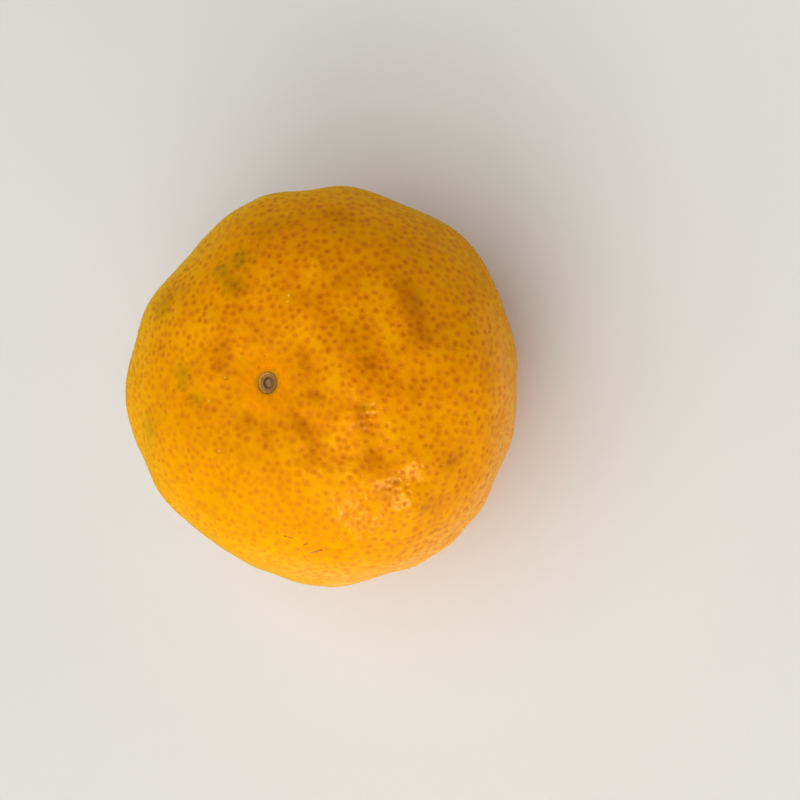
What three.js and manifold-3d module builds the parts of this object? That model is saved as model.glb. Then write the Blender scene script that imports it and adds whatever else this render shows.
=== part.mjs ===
// A mandarin as it rests on a table, with its stem end down and its blossom end up.
// Millimetres, +Z up. The origin is on the table, under the middle of the fruit.
// Every radius of the rind starts from one point, on the fruit's axis at its widest level.

import * as THREE from "three";
import { ConvexHull } from "three/addons/math/ConvexHull.js";
import { mergeVertices } from "three/addons/utils/BufferGeometryUtils.js";
import Module from "manifold-3d";

const wasm = await Module();
wasm.setup();

// The round body: its width, its rise and drop from the widest level, and how square
// its shoulders are. 2 is an ellipse, and more is fuller.
const ACROSS = 62.5;
const TOP_RISE = 23.6;
const STEM_DROP = 26.0;
const SHOULDER = 2.3;

// From the widest level down to the table. The lowest ring of rind is pressed flat there.
const REST_DROP = 24.5;

// The hollows that both ends sit in
const BLOSSOM_BASIN = { depth: 1.5, radius: 6.5, power: 2 };
const STEM_BASIN = { depth: 4.2, radius: 6.8, power: 2.4 };

// Where two segments meet under the rind, in degrees round the fruit, and how the shallow
// furrow over each one swells and dies away with distance from the axis
const FURROWS = [33, 70, 107, 152, 195, 239, 270, 310, 347];
const TOP_FURROW = { depth: 0.2, peak: 9, reach: 7, start: 5 };
const STEM_FURROW = { depth: 0.75, peak: 6, reach: 7, start: 5 };
const WAIST_FURROW = { depth: 0.14, reach: 17 };
const FURROW_WIDTH = 1.3;
const FURROW_SPREAD = 0.12;

// Cheeks and flats round the sides: azimuth and latitude of the middle and half width, in
// degrees, and height in millimetres
const SWELLS = [
  { azimuth: 8, latitude: -15, spread: 6, height: 0.25 },
  { azimuth: 26, latitude: -12, spread: 6, height: -0.4 },
  { azimuth: 46, latitude: -9, spread: 13, height: 1.1 },
  { azimuth: 76, latitude: 3, spread: 9, height: 0.3 },
  { azimuth: 92, latitude: 9, spread: 7, height: -0.5 },
  { azimuth: 104, latitude: 13, spread: 7, height: 0.35 },
  { azimuth: 136, latitude: 19, spread: 14, height: -1.75 },
  { azimuth: 157, latitude: 20, spread: 7, height: 0.25 },
  { azimuth: 165, latitude: 20, spread: 6, height: -0.25 },
  { azimuth: 185, latitude: 21, spread: 12, height: 0.55 },
  { azimuth: 208, latitude: 19, spread: 6, height: -0.3 },
  { azimuth: 221, latitude: 17, spread: 8, height: -0.25 },
  { azimuth: 238, latitude: 12, spread: 15, height: -1.05 },
  { azimuth: 256, latitude: 7, spread: 6, height: -0.25 },
  { azimuth: 276, latitude: 1, spread: 10, height: 0.75 },
  { azimuth: 288, latitude: -3, spread: 4, height: -0.25 },
  { azimuth: 300, latitude: -7, spread: 11, height: 1.05 },
  { azimuth: 309, latitude: -8, spread: 5, height: 0.4 },
  { azimuth: 333, latitude: -14, spread: 6, height: -0.55 },
  { azimuth: 356, latitude: -16, spread: 10, height: -0.7 },
];

// Soft ridges and creases of the loose rind: both ends as azimuth and latitude in degrees,
// width and height in millimetres. They fade out round the scar.
const RIDGES = [
  { from: [30, 58], to: [352, 57], width: 2.6, height: 0.4 },
  { from: [42, 38], to: [18, 42], width: 2.4, height: 0.45 },
  { from: [18, 42], to: [4, 38], width: 2, height: 0.2 },
  { from: [68, 60], to: [54, 64], width: 1.6, height: 0.25 },
  { from: [84, 50], to: [66, 44], width: 2.4, height: 0.35 },
  { from: [116, 45], to: [114, 57], width: 3, height: 0.3 },
  { from: [155, 44], to: [136, 55], width: 2.4, height: 0.4 },
  { from: [148, 66], to: [185, 68], width: 2.2, height: 0.35 },
  { from: [225, 58], to: [260, 57], width: 2.8, height: 0.4 },
  { from: [284, 60], to: [310, 50], width: 2.6, height: 0.3 },
  { from: [306, 72], to: [300, 64], width: 1.6, height: 0.3 },
  { from: [311, 50], to: [320, 40], width: 2.2, height: 0.45 },
  { from: [312, 36], to: [318, 24], width: 2, height: 0.4 },
  { from: [330, 38], to: [335, 32], width: 1.5, height: 0.15 },
  { from: [348, 61], to: [330, 58], width: 2.2, height: 0.35 },
];
const CREASES = [
  { from: [58, 71], to: [30, 71], width: 2, height: -0.35 },
  { from: [30, 71], to: [345, 69], width: 2.2, height: -0.5 },
  { from: [22, 52], to: [0, 48], width: 1.8, height: -0.25 },
  { from: [35, 24], to: [19, 34], width: 2.4, height: -0.25 },
  { from: [98, 60], to: [97, 72], width: 2.4, height: -0.5 },
  { from: [100, 30], to: [88, 32], width: 3, height: -0.35 },
  { from: [125, 76], to: [160, 80], width: 2, height: -0.35 },
  { from: [158, 57], to: [188, 59], width: 1.8, height: -0.25 },
  { from: [222, 76], to: [276, 75], width: 2.4, height: -0.5 },
  { from: [280, 48], to: [277, 42], width: 2, height: -0.25 },
  { from: [322, 75], to: [318, 62], width: 1.6, height: -0.4 },
  { from: [346, 52], to: [332, 48], width: 1.6, height: -0.35 },
  { from: [332, 47], to: [326, 40], width: 1.8, height: -0.4 },
  { from: [322, 37], to: [328, 28], width: 1.2, height: -0.2 },
  { from: [333, 24], to: [342, 16], width: 2.4, height: -0.35 },
];
const FOLD_RADIUS = 27;
const FLAT_RADIUS = 4;

// Uneven growth: long low waves and short ones, in many directions, and the calm patch
// under the calyx
const LONG_WAVES = { count: 12, phase: 1.7, length: 17, height: 0.07 };
const SHORT_WAVES = { count: 14, phase: 4.1, length: 7, height: 0.018 };
const WAVE_SHIFT = { phase: 7.3, place: 2.4 };
const WAVE_RADIUS = 31;
const CALM_RADIUS = 5.5;

// Furrows and waves differ from one to the next, by a share from the least upwards
const LEAST_SHARE = 0.75;
const SHARE_RANGE = 0.5;
const GOLDEN_STEP = 0.618;

// Oil glands dimple the rind, and the net between them stands up round each dimple.
// They are fewer and larger here than the real ones.
const GLANDS = 1750;
const GLAND_SPACING = 2.0;
const DIMPLE = 0.24;
const NET_RISE = 0.04;
const SMOOTH_ZONE = 4.6;
const REST_MARGIN = 0.7;
const GLAND_SEED = 20;

// The corky style scar: its face runs from the edge over a thin rim, a broad ring, a groove
// and a low boss to the dimple in the middle, each as a share of the radius and a height
const SCAR = { radius: 1.55, bottom: 21.5, sides: 28 };
const SCAR_FACE = [
  [1, 22.14],
  [0.92, 22.2],
  [0.86, 22.12],
  [0.7, 22.15],
  [0.52, 21.93],
  [0.42, 21.88],
  [0.32, 22.03],
  [0.18, 22.06],
  [0, 22],
];

// The hole in the rind that the scar sits in
const SCAR_HOLE = { radius: 1.65, floor: 21.42, sides: 36 };

// The calyx star with its clipped stem, and the dished seat in the rind that it lies in
const SEAT = { radius: 4.5, top: 21.65, curve: 9, sides: 40, steps: 6 };
const CALYX = { lobes: 5, valley: 2.7, tip: 4.3, point: 1.3, gap: 0.1, middle: 0.9, edge: 0.35 };
const STEM = { radius: 1.45, foot: 1.95, length: 2.0, pith: 0.5, hollow: 0.12 };
const CALYX_SPOKES = 30;
const STEM_RINGS = [0.5, 1.1, 1.45, 1.62, 1.8, 1.95];
const STAR_RING_SHARES = [0.25, 0.5, 0.75, 1];

// How far past the rind the tools reach that cut the hole and the seat
const CUT_MARGIN = 2;

const HALF_TURN = 180;
const GOLDEN_ANGLE = Math.PI * (3 - Math.sqrt(5));

function direction(azimuth, latitude) {
  const turn = THREE.MathUtils.degToRad(azimuth);
  const lift = THREE.MathUtils.degToRad(latitude);
  return new THREE.Vector3(
    Math.cos(lift) * Math.cos(turn),
    Math.cos(lift) * Math.sin(turn),
    Math.sin(lift),
  );
}

function bell(distance, width, power = 2) {
  return Math.exp(-Math.pow(Math.abs(distance) / width, power));
}

function unevenShare(place, phase = 0) {
  return LEAST_SHARE + SHARE_RANGE * ((place * GOLDEN_STEP + phase) % 1);
}

// The same draws every time, from 0 to 1
function seededRandom(seed) {
  let state = seed;
  return () => {
    state = (state + 0x6d2b79f5) | 0;
    let mixed = Math.imul(state ^ (state >>> 15), 1 | state);
    mixed = (mixed + Math.imul(mixed ^ (mixed >>> 7), 61 | mixed)) ^ mixed;
    return ((mixed ^ (mixed >>> 14)) >>> 0) / 4294967296;
  };
}

// The plain body's radius in one direction
function bodyRadius(way) {
  const level = Math.hypot(way.x, way.y) / (ACROSS / 2);
  const drop = Math.abs(way.z) / (way.z > 0 ? TOP_RISE : STEM_DROP);
  return Math.pow(Math.pow(level, SHOULDER) + Math.pow(drop, SHOULDER), -1 / SHOULDER);
}

function basinDepth(way, out) {
  const basin = way.z > 0 ? BLOSSOM_BASIN : STEM_BASIN;
  return basin.depth * bell(out, basin.radius, basin.power);
}

function furrowDepth(way, out) {
  const end = way.z > 0 ? TOP_FURROW : STEM_FURROW;
  const endDepth = end.depth * bell(out - end.peak, end.reach) * (1 - bell(out, end.start, 4));
  const waistDepth = WAIST_FURROW.depth * bell(way.z * (ACROSS / 2), WAIST_FURROW.reach);
  const width = FURROW_WIDTH + FURROW_SPREAD * out;
  const turn = THREE.MathUtils.radToDeg(Math.atan2(way.y, way.x));
  let share = 0;
  FURROWS.forEach((furrow, place) => {
    const round = THREE.MathUtils.euclideanModulo(turn - furrow + HALF_TURN, 2 * HALF_TURN);
    const aside = THREE.MathUtils.degToRad(round - HALF_TURN) * out;
    share += unevenShare(place) * bell(aside, width);
  });
  return (endDepth + waistDepth) * share;
}

const swellMiddles = SWELLS.map((swell) => direction(swell.azimuth, swell.latitude));

function swellHeight(way) {
  let height = 0;
  SWELLS.forEach((swell, place) => {
    const apart = THREE.MathUtils.radToDeg(way.angleTo(swellMiddles[place]));
    height += swell.height * bell(apart, swell.spread);
  });
  return height;
}

const folds = [...RIDGES, ...CREASES].map((fold) => {
  const start = direction(...fold.from);
  return { ...fold, start, run: direction(...fold.to).sub(start) };
});

function foldHeight(way, out) {
  let height = 0;
  folds.forEach((fold) => {
    const offset = way.clone().sub(fold.start);
    const along = offset.dot(fold.run) / fold.run.lengthSq();
    const aside = offset.addScaledVector(fold.run, -along).length() * FOLD_RADIUS;
    height += fold.height * bell(aside, fold.width) * bell(2 * along - 1, 1, 3);
  });
  return height * (1 - bell(out, FLAT_RADIUS, 4));
}

function waveHeight(way, waves) {
  let height = 0;
  for (let place = 0; place < waves.count; place += 1) {
    const up = 1 - (2 * (place + 0.5)) / waves.count;
    const side = Math.sqrt(1 - up * up);
    const turn = GOLDEN_ANGLE * place + waves.phase;
    const across = way.x * side * Math.cos(turn) + way.y * side * Math.sin(turn) + way.z * up;
    const length = waves.length * unevenShare(place, waves.phase);
    const ripples = (2 * Math.PI * WAVE_RADIUS) / length;
    const shift = waves.phase * WAVE_SHIFT.phase + place * WAVE_SHIFT.place;
    height += waves.height * Math.sin(ripples * across + shift);
  }
  return height;
}

// The rind's radius in one direction, without the glands
function rindRadius(way) {
  const body = bodyRadius(way);
  const out = body * Math.hypot(way.x, way.y);
  const unevenness = way.z > 0 ? 1 : 1 - bell(out, CALM_RADIUS, 4);
  return (
    body -
    basinDepth(way, out) -
    furrowDepth(way, out) +
    swellHeight(way) +
    foldHeight(way, out) +
    unevenness * (waveHeight(way, LONG_WAVES) + waveHeight(way, SHORT_WAVES))
  );
}

// Directions spread over a sphere, none nearer another than the glands' spacing
function scatterGlands() {
  const random = seededRandom(GLAND_SEED);
  const nearest = Math.cos(GLAND_SPACING / (ACROSS / 2));
  const glands = [];
  while (glands.length < GLANDS) {
    const up = 2 * random() - 1;
    const turn = 2 * Math.PI * random();
    const side = Math.sqrt(1 - up * up);
    const tried = new THREE.Vector3(side * Math.cos(turn), side * Math.sin(turn), up);
    if (glands.every((gland) => gland.dot(tried) < nearest)) glands.push(tried);
  }
  return glands;
}

// The triangles of the ball that has these directions as its corners
function ballTriangles(directions) {
  const hull = new ConvexHull().setFromPoints(directions);
  return hull.faces.map((face) => [0, 1, 2].map((corner) => face.getEdge(corner).head().point));
}

// How far the rind sinks at a gland: not in the smooth zones at both ends, nor where it rests
function dimpleDepth(point) {
  const smooth = bell(Math.hypot(point.x, point.y), SMOOTH_ZONE, 6);
  const aboveRest = THREE.MathUtils.clamp((point.z + REST_DROP) / REST_MARGIN, 0, 1);
  return DIMPLE * (1 - smooth) * aboveRest;
}

function rindPoint(way, isGland) {
  const point = way.clone().multiplyScalar(rindRadius(way));
  const lift = isGland ? -dimpleDepth(point) : NET_RISE;
  point.addScaledVector(way, lift);
  point.z = Math.max(point.z, -REST_DROP);
  return point;
}

function rindGeometry() {
  const glands = scatterGlands();
  const net = ballTriangles(glands).map(([first, second, third]) =>
    new THREE.Vector3().add(first).add(second).add(third).normalize(),
  );
  const points = new Map();
  glands.forEach((way) => points.set(way, rindPoint(way, true)));
  net.forEach((way) => points.set(way, rindPoint(way, false)));
  const ways = ballTriangles([...glands, ...net]).flat();
  return new THREE.BufferGeometry().setFromPoints(ways.map((way) => points.get(way)));
}

function toSolid(geometry) {
  const bare = geometry.clone();
  bare.deleteAttribute("normal");
  bare.deleteAttribute("uv");
  const merged = mergeVertices(bare, 1e-4);
  const vertProperties = new Float32Array(merged.attributes.position.array);
  const triVerts = new Uint32Array(merged.index.array);
  return new wasm.Manifold(new wasm.Mesh({ numProp: 3, vertProperties, triVerts }));
}

function toGeometry(solid) {
  const mesh = solid.getMesh();
  const geometry = new THREE.BufferGeometry();
  geometry.setAttribute("position", new THREE.BufferAttribute(mesh.vertProperties, 3));
  geometry.setIndex(new THREE.BufferAttribute(mesh.triVerts, 1));
  return geometry;
}

// A solid turned about the fruit's axis, from a profile of radius and height that runs
// upwards and starts and ends on the axis
function turned(profile, sides) {
  const outline = profile.map(([radius, height]) => new THREE.Vector2(radius, height));
  return new THREE.LatheGeometry(outline, sides).rotateX(Math.PI / 2);
}

// The height of the seat's dished face at a distance from the axis
function seatLevel(radius) {
  return -SEAT.top - SEAT.curve + Math.sqrt(SEAT.curve ** 2 - radius ** 2);
}

function scarHole() {
  const above = TOP_RISE + CUT_MARGIN;
  const { radius, floor, sides } = SCAR_HOLE;
  return turned([[0, floor], [radius, floor], [radius, above], [0, above]], sides);
}

function calyxSeat() {
  const below = -STEM_DROP - CUT_MARGIN;
  const dish = [];
  for (let step = 0; step <= SEAT.steps; step += 1) {
    const radius = (SEAT.radius * (SEAT.steps - step)) / SEAT.steps;
    dish.push([radius, seatLevel(radius)]);
  }
  return turned([[0, below], [SEAT.radius, below], ...dish], SEAT.sides);
}

function fruitGeometry() {
  const rind = toSolid(rindGeometry());
  return toGeometry(rind.subtract(toSolid(scarHole())).subtract(toSolid(calyxSeat())));
}

function scarGeometry() {
  const face = SCAR_FACE.map(([share, height]) => [SCAR.radius * share, height]);
  return turned([[0, SCAR.bottom], [SCAR.radius, SCAR.bottom], ...face], SCAR.sides);
}

// How far the star reaches at an angle: five lobes with pointed tips
function lobeReach(turn) {
  const toTip = Math.abs(((turn * CALYX.lobes) / Math.PI) % 2 - 1);
  return CALYX.valley + (CALYX.tip - CALYX.valley) * Math.pow(toTip, CALYX.point);
}

// How thick calyx and stem are together, at a distance from the axis and as a share of the reach
function calyxThickness(radius, share) {
  const star = CALYX.edge + (CALYX.middle - CALYX.edge) * (1 - share * share);
  const rise = THREE.MathUtils.smoothstep(STEM.foot - radius, 0, STEM.foot - STEM.radius);
  const pith = STEM.hollow * bell(radius, STEM.pith, 4);
  return star + (STEM.length - star - pith) * rise;
}

// The star's rings of points, inner face in the seat and outer face looking down, with the
// middle of each face last
function calyxPoints() {
  const inner = [];
  const outer = [];
  const addPair = (radius, turn, reach) => {
    const top = seatLevel(radius) - CALYX.gap;
    const x = radius * Math.cos(turn);
    const y = radius * Math.sin(turn);
    inner.push(new THREE.Vector3(x, y, top));
    outer.push(new THREE.Vector3(x, y, top - calyxThickness(radius, radius / reach)));
  };
  for (let spoke = 0; spoke < CALYX_SPOKES; spoke += 1) {
    const turn = (2 * Math.PI * spoke) / CALYX_SPOKES;
    const reach = lobeReach(turn);
    STEM_RINGS.forEach((radius) => addPair(radius, turn, reach));
    STAR_RING_SHARES.forEach((share) => {
      addPair(THREE.MathUtils.lerp(STEM.foot, reach, share), turn, reach);
    });
  }
  addPair(0, 0, CALYX.tip);
  return { inner, outer };
}

// The star and the stub of stem on it, grown as one
function calyxGeometry() {
  const { inner, outer } = calyxPoints();
  const ringCount = STEM_RINGS.length + STAR_RING_SHARES.length;
  const middle = CALYX_SPOKES * ringCount;
  const at = (spoke, ring) => (ring < 0 ? middle : (spoke % CALYX_SPOKES) * ringCount + ring);
  const triangles = [];
  for (let spoke = 0; spoke < CALYX_SPOKES; spoke += 1) {
    for (let ring = -1; ring < ringCount - 1; ring += 1) {
      const near = at(spoke, ring);
      const far = at(spoke, ring + 1);
      const nearNext = at(spoke + 1, ring);
      const farNext = at(spoke + 1, ring + 1);
      triangles.push(inner[near], inner[far], inner[farNext]);
      triangles.push(outer[near], outer[farNext], outer[far]);
      if (ring < 0) continue;
      triangles.push(inner[near], inner[farNext], inner[nearNext]);
      triangles.push(outer[near], outer[nearNext], outer[farNext]);
    }
    const edge = at(spoke, ringCount - 1);
    const edgeNext = at(spoke + 1, ringCount - 1);
    triangles.push(inner[edge], outer[edge], outer[edgeNext]);
    triangles.push(inner[edge], outer[edgeNext], inner[edgeNext]);
  }
  return new THREE.BufferGeometry().setFromPoints(triangles);
}

function piece(name, geometry, colour, roughness) {
  const material = new THREE.MeshStandardMaterial({ color: colour, roughness, metalness: 0 });
  const mesh = new THREE.Mesh(geometry, material);
  mesh.name = name;
  return mesh;
}

const fruit = piece("fruit", fruitGeometry(), 0xf39703, 0.42);
const styleScar = piece("style_scar", scarGeometry(), 0x8b7f74, 0.85);
const calyx = piece("calyx", calyxGeometry(), 0x7c7a45, 0.85);

const mandarin = new THREE.Group();
mandarin.add(fruit, styleScar, calyx);

// Stand it on the table, with the middle of its outline over the origin
fruit.geometry.computeBoundingBox();
const middle = fruit.geometry.boundingBox.getCenter(new THREE.Vector3());
mandarin.position.set(-middle.x, -middle.y, REST_DROP);

export default mandarin;
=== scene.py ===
# A loose-skinned mandarin, standing on its stem end with the blossom end up, seen from above.
# Metres, +Z up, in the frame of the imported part. Sizes named here are in millimetres.
import math

import bmesh
import bpy
import numpy as np
from mathutils import Matrix, Vector
from mathutils.geometry import delaunay_2d_cdt
from mathutils.kdtree import KDTree


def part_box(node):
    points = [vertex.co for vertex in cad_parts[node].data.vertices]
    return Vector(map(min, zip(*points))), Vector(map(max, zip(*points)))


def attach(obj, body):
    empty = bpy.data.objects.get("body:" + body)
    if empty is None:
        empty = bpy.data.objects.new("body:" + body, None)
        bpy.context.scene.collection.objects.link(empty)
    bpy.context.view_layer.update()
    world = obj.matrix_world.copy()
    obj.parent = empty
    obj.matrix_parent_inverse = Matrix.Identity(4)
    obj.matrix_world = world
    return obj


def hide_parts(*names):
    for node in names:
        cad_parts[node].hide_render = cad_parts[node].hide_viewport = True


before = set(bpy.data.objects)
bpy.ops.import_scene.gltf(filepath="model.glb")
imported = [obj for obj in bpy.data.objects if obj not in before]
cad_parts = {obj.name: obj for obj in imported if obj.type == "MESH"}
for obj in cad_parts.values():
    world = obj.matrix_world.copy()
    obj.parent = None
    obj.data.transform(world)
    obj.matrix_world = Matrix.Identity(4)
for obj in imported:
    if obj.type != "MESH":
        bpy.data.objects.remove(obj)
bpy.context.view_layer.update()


# The view: a camera close above the fruit, leaning a little towards its right side. It aims at
# the star point, on the fruit's axis at its widest level, and everything is placed from there.
# The lens is shifted, so that the fruit stands left of the middle of the picture.
MM = 0.001
REST_DROP = 24.5
scar_low, scar_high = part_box("style_scar")
STAR = np.array([(scar_low.x + scar_high.x) / 2 / MM, (scar_low.y + scar_high.y) / 2 / MM, REST_DROP])

CAMERA_ELEVATION = 68.8
CAMERA_TURN = 3.3
CAMERA_DISTANCE = 260.0
SENSOR_WIDTH = 36
NEAREST_SEEN = 10.0
PICTURE_WIDTH = 800
FOCAL_PIXELS = 1636
STAR_PIXEL = (322.2, 385.6)


def add_object(name, data):
    added = bpy.data.objects.new(name, data)
    bpy.context.scene.collection.objects.link(added)
    return added


def place_camera():
    lift, turn = math.radians(CAMERA_ELEVATION), math.radians(CAMERA_TURN)
    back = Vector((math.cos(lift) * math.cos(turn), -math.cos(lift) * math.sin(turn), math.sin(lift)))
    up = (Vector((0, 1, 0)) - back * back.y).normalized()
    turned = Matrix((up.cross(back), up, back)).transposed().to_4x4()
    data = bpy.data.cameras.new("view")
    data.sensor_width = SENSOR_WIDTH
    data.lens = SENSOR_WIDTH * FOCAL_PIXELS / PICTURE_WIDTH
    data.shift_x = 0.5 - STAR_PIXEL[0] / PICTURE_WIDTH
    data.shift_y = STAR_PIXEL[1] / PICTURE_WIDTH - 0.5
    data.clip_start = NEAREST_SEEN * MM
    camera = add_object("view", data)
    camera.matrix_world = Matrix.Translation((Vector(STAR) + back * CAMERA_DISTANCE) * MM) @ turned
    bpy.context.scene.camera = camera


place_camera()


# The rind: the whole fruit's outside, grown in one piece over the segments. Its form is a
# squat round body with a basin at both ends, shallow furrows between the segments, broad
# cheeks and flats, and soft folds round the blossom end. Oil glands dimple it all over.
ACROSS = 62.5
TOP_RISE = 23.6
STEM_DROP = 26.0
SHOULDER = 2.3
# depth, radius and power
BLOSSOM_BASIN = (1.5, 6.5, 2)
STEM_BASIN = (4.2, 6.8, 2.4)
FURROWS = [33, 70, 107, 152, 195, 239, 270, 310, 347]
# depth, how far out it peaks, its reach there, and how far out it starts
TOP_FURROW = (0.2, 9, 7, 5)
STEM_FURROW = (0.75, 6, 7, 5)
# depth and reach
WAIST_FURROW = (0.14, 17)
FURROW_WIDTH = 1.3
FURROW_SPREAD = 0.12
# azimuth and latitude of the middle, half width in degrees, and height
SWELLS = [
    (8, -15, 6, 0.25),
    (26, -12, 6, -0.4),
    (46, -9, 13, 1.1),
    (76, 3, 9, 0.3),
    (92, 9, 7, -0.5),
    (104, 13, 7, 0.35),
    (136, 19, 14, -1.75),
    (157, 20, 7, 0.25),
    (165, 20, 6, -0.25),
    (185, 21, 12, 0.55),
    (208, 19, 6, -0.3),
    (221, 17, 8, -0.25),
    (238, 12, 15, -1.05),
    (256, 7, 6, -0.25),
    (276, 1, 10, 0.75),
    (288, -3, 4, -0.25),
    (300, -7, 11, 1.05),
    (309, -8, 5, 0.4),
    (333, -14, 6, -0.55),
    (356, -16, 10, -0.7),
]
# both ends as azimuth and latitude, width and height
RIDGES = [
    ((30, 58), (352, 57), 2.6, 0.4),
    ((42, 38), (18, 42), 2.4, 0.45),
    ((18, 42), (4, 38), 2, 0.2),
    ((68, 60), (54, 64), 1.6, 0.25),
    ((84, 50), (66, 44), 2.4, 0.35),
    ((116, 45), (114, 57), 3, 0.3),
    ((155, 44), (136, 55), 2.4, 0.4),
    ((148, 66), (185, 68), 2.2, 0.35),
    ((225, 58), (260, 57), 2.8, 0.4),
    ((284, 60), (310, 50), 2.6, 0.3),
    ((306, 72), (300, 64), 1.6, 0.3),
    ((311, 50), (320, 40), 2.2, 0.45),
    ((312, 36), (318, 24), 2, 0.4),
    ((330, 38), (335, 32), 1.5, 0.15),
    ((348, 61), (330, 58), 2.2, 0.35),
]
CREASES = [
    ((58, 71), (30, 71), 2, -0.35),
    ((30, 71), (345, 69), 2.2, -0.5),
    ((22, 52), (0, 48), 1.8, -0.25),
    ((35, 24), (19, 34), 2.4, -0.25),
    ((98, 60), (97, 72), 2.4, -0.5),
    ((100, 30), (88, 32), 3, -0.35),
    ((125, 76), (160, 80), 2, -0.35),
    ((158, 57), (188, 59), 1.8, -0.25),
    ((222, 76), (276, 75), 2.4, -0.5),
    ((280, 48), (277, 42), 2, -0.25),
    ((322, 75), (318, 62), 1.6, -0.4),
    ((346, 52), (332, 48), 1.6, -0.35),
    ((332, 47), (326, 40), 1.8, -0.4),
    ((322, 37), (328, 28), 1.2, -0.2),
    ((333, 24), (342, 16), 2.4, -0.35),
]
FOLD_RADIUS = 27
FOLD_ENDS = 3
FLAT_RADIUS = 4
# count, phase, length and height
LONG_WAVES = (12, 1.7, 17, 0.07)
SHORT_WAVES = (14, 4.1, 7, 0.018)
PHASE_SHIFT = 7.3
PLACE_SHIFT = 2.4
WAVE_RADIUS = 31
CALM_RADIUS = 5.5
GOLDEN_ANGLE = math.pi * (3 - math.sqrt(5))
GOLDEN_STEP = 0.618
LEAST_SHARE = 0.75
SHARE_RANGE = 0.5
FIRM_EDGE = 4


def bell(distance, width, power=2):
    return np.exp(-np.abs(distance / width) ** power)


def smooth_step(value, low, high):
    share = np.clip((value - low) / (high - low), 0, 1)
    return share * share * (3 - 2 * share)


def direction(azimuth, latitude):
    turn, lift = math.radians(azimuth), math.radians(latitude)
    return np.array([math.cos(lift) * math.cos(turn), math.cos(lift) * math.sin(turn), math.sin(lift)])


def uneven_share(place, phase=0):
    return LEAST_SHARE + SHARE_RANGE * ((place * GOLDEN_STEP + phase) % 1)


def wave_height(ways, count, phase, length, height):
    """The sum of waves that run in directions spread all round."""
    total = np.zeros(len(ways))
    for place in range(count):
        up = 1 - 2 * (place + 0.5) / count
        side = math.sqrt(1 - up * up)
        turn = GOLDEN_ANGLE * place + phase
        heading = np.array([side * math.cos(turn), side * math.sin(turn), up])
        ripples = 2 * math.pi * WAVE_RADIUS / (length * uneven_share(place, phase))
        total += height * np.sin(ripples * (ways @ heading) + phase * PHASE_SHIFT + place * PLACE_SHIFT)
    return total


def stroke_heights(ways, strokes):
    """The sum of long soft bumps, each along the line between its two ends."""
    total = np.zeros(len(ways))
    for start, end, width, height in strokes:
        first, run = direction(*start), direction(*end) - direction(*start)
        along = (ways - first) @ run / (run @ run)
        aside = FOLD_RADIUS * np.linalg.norm(ways - first - along[:, None] * run, axis=1)
        total += height * bell(aside, width) * bell(2 * along - 1, 1, FOLD_ENDS)
    return total


def furrow_depth(ways, out):
    up = ways[:, 2] > 0
    ends = []
    for depth, peak, reach, start in (TOP_FURROW, STEM_FURROW):
        ends.append(depth * bell(out - peak, reach) * (1 - bell(out, start, FIRM_EDGE)))
    waist = WAIST_FURROW[0] * bell(ways[:, 2] * ACROSS / 2, WAIST_FURROW[1])
    full_depth = np.where(up, *ends) + waist
    turn = np.degrees(np.arctan2(ways[:, 1], ways[:, 0]))
    total = np.zeros(len(ways))
    for place, furrow in enumerate(FURROWS):
        aside = np.radians((turn - furrow + 180) % 360 - 180) * out
        total += full_depth * uneven_share(place) * bell(aside, FURROW_WIDTH + FURROW_SPREAD * out)
    return total


def rind_radius(ways):
    """The rind's distance from the star point in each direction, without the glands."""
    level = np.hypot(ways[:, 0], ways[:, 1])
    up = ways[:, 2] > 0
    reach = np.where(up, TOP_RISE, STEM_DROP)
    body = ((level / (ACROSS / 2)) ** SHOULDER + (np.abs(ways[:, 2]) / reach) ** SHOULDER) ** (-1 / SHOULDER)
    out = body * level
    total = body - furrow_depth(ways, out)
    for (depth, radius, power), here in ((BLOSSOM_BASIN, up), (STEM_BASIN, ~up)):
        total -= here * depth * bell(out, radius, power)
    for azimuth, latitude, spread, height in SWELLS:
        apart = np.degrees(np.arccos(np.clip(ways @ direction(azimuth, latitude), -1, 1)))
        total += height * bell(apart, spread)
    total += stroke_heights(ways, RIDGES + CREASES) * (1 - bell(out, FLAT_RADIUS, FIRM_EDGE))
    unevenness = np.where(up, 1, 1 - bell(out, CALM_RADIUS, FIRM_EDGE))
    return total + unevenness * (wave_height(ways, *LONG_WAVES) + wave_height(ways, *SHORT_WAVES))


# The glands: about one in two square millimetres, scattered unevenly, and each with its own
# size and depth. There is room for them all over but at the scar and the calyx.
GLAND_SPACING = 0.95
GLANDS_TRIED = 1.35
SMALLEST_GLAND = 0.33
LARGEST_GLAND = 0.52
FAINTEST_GLAND = 0.4
GLAND_SEED = 11
SCAR_ROOM = 2.1
CALYX_ROOM = 3.6
RING_POINTS = 6
RING_RADII = (0.52, 1.0)
ROSETTE_POINTS = 1 + len(RING_RADII) * RING_POINTS
GROUND_CUTS = 7


def add_node(tree, kind, inputs=None, **settings):
    """A node with its settings, and its inputs by name or number: each a value or a socket."""
    node = tree.nodes.new(kind)
    for name, value in settings.items():
        setattr(node, name, value)
    for key, value in (inputs or {}).items():
        if isinstance(value, bpy.types.NodeSocket):
            tree.links.new(value, node.inputs[key])
        else:
            node.inputs[key].default_value = value
    return node


def draw_number(tree, low, high, seed):
    inputs = {2: low, 3: high, "Seed": seed}
    return add_node(tree, "FunctionNodeRandomValue", inputs, data_type="FLOAT").outputs[1]


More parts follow.
